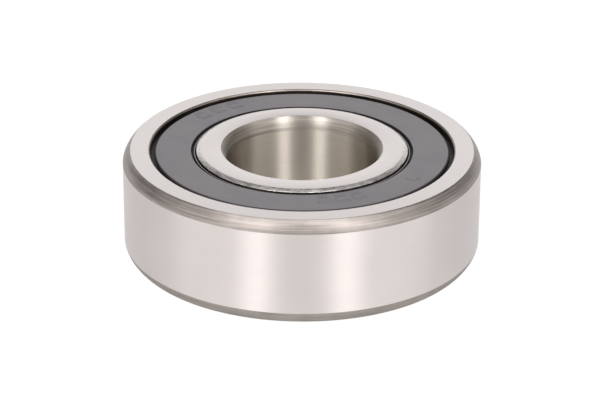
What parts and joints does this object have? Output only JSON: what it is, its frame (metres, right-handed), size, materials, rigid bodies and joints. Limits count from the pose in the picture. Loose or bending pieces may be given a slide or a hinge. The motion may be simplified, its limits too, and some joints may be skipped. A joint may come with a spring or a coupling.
{
  "type": "sealed deep groove ball bearing",
  "caption": "Sealed single-row deep groove ball bearing: turns freely between a shaft and a housing, with a rubber seal on each side.",
  "frame": {"origin": "centre of the bearing, on its axis and halfway between its two side faces", "axes": "+Z is the axis of rotation; X and Y lie in the mid-plane through the ball centres, with ball_1 on +X"},
  "size_m": [0.04, 0.04, 0.012],
  "materials": {
    "ring_steel": "ground through-hardened bearing steel",
    "ball_steel": "lapped and polished bearing steel",
    "cage_steel": "pressed mild steel strip",
    "rivet_steel": "headed mild steel wire",
    "seal_rubber": "matte moulded nitrile rubber, grey",
    "seal_plate_steel": "stamped steel sheet, phosphated"
  },
  "bodies": {
    "outer": {"outer_ring": "ring_steel", "seal_rubber_top": "seal_rubber", "seal_rubber_bottom": "seal_rubber", "seal_plate_top": "seal_plate_steel", "seal_plate_bottom": "seal_plate_steel"},
    "inner": {"inner_ring": "ring_steel"},
    "cage": {"cage_half_top": "cage_steel", "cage_half_bottom": "cage_steel", "rivet_1": "rivet_steel", "rivet_2": "rivet_steel", "rivet_3": "rivet_steel", "rivet_4": "rivet_steel", "rivet_5": "rivet_steel", "rivet_6": "rivet_steel", "rivet_7": "rivet_steel", "rivet_8": "rivet_steel"},
    "ball_1": {"ball_1": "ball_steel"},
    "ball_2": {"ball_2": "ball_steel"},
    "ball_3": {"ball_3": "ball_steel"},
    "ball_4": {"ball_4": "ball_steel"},
    "ball_5": {"ball_5": "ball_steel"},
    "ball_6": {"ball_6": "ball_steel"},
    "ball_7": {"ball_7": "ball_steel"},
    "ball_8": {"ball_8": "ball_steel"}
  },
  "joints": [
    {"name": "inner_ring_spin", "type": "hinge", "parent": "outer", "child": "inner", "pos_m": [0, 0, 0], "axis": [0, 0, 1], "continuous": true},
    {"name": "cage_spin", "type": "hinge", "parent": "outer", "child": "cage", "pos_m": [0, 0, 0], "axis": [0, 0, 1], "continuous": true},
    {"name": "ball_1_spin", "type": "hinge", "parent": "cage", "child": "ball_1", "pos_m": [0.01425, 0, 0], "axis": [0, 0, 1], "continuous": true},
    {"name": "ball_2_spin", "type": "hinge", "parent": "cage", "child": "ball_2", "pos_m": [0.01008, 0.01008, 0], "axis": [0, 0, 1], "continuous": true},
    {"name": "ball_3_spin", "type": "hinge", "parent": "cage", "child": "ball_3", "pos_m": [0, 0.01425, 0], "axis": [0, 0, 1], "continuous": true},
    {"name": "ball_4_spin", "type": "hinge", "parent": "cage", "child": "ball_4", "pos_m": [-0.01008, 0.01008, 0], "axis": [0, 0, 1], "continuous": true},
    {"name": "ball_5_spin", "type": "hinge", "parent": "cage", "child": "ball_5", "pos_m": [-0.01425, 0, 0], "axis": [0, 0, 1], "continuous": true},
    {"name": "ball_6_spin", "type": "hinge", "parent": "cage", "child": "ball_6", "pos_m": [-0.01008, -0.01008, 0], "axis": [0, 0, 1], "continuous": true},
    {"name": "ball_7_spin", "type": "hinge", "parent": "cage", "child": "ball_7", "pos_m": [0, -0.01425, 0], "axis": [0, 0, 1], "continuous": true},
    {"name": "ball_8_spin", "type": "hinge", "parent": "cage", "child": "ball_8", "pos_m": [0.01008, -0.01008, 0], "axis": [0, 0, 1], "continuous": true}
  ],
  "couplings": [
    {"joint": "cage_spin", "follows": "inner_ring_spin", "ratio": 0.38163},
    {"joint": "ball_1_spin", "follows": "inner_ring_spin", "ratio": -1.9937},
    {"joint": "ball_2_spin", "follows": "inner_ring_spin", "ratio": -1.9937},
    {"joint": "ball_3_spin", "follows": "inner_ring_spin", "ratio": -1.9937},
    {"joint": "ball_4_spin", "follows": "inner_ring_spin", "ratio": -1.9937},
    {"joint": "ball_5_spin", "follows": "inner_ring_spin", "ratio": -1.9937},
    {"joint": "ball_6_spin", "follows": "inner_ring_spin", "ratio": -1.9937},
    {"joint": "ball_7_spin", "follows": "inner_ring_spin", "ratio": -1.9937},
    {"joint": "ball_8_spin", "follows": "inner_ring_spin", "ratio": -1.9937}
  ]
}
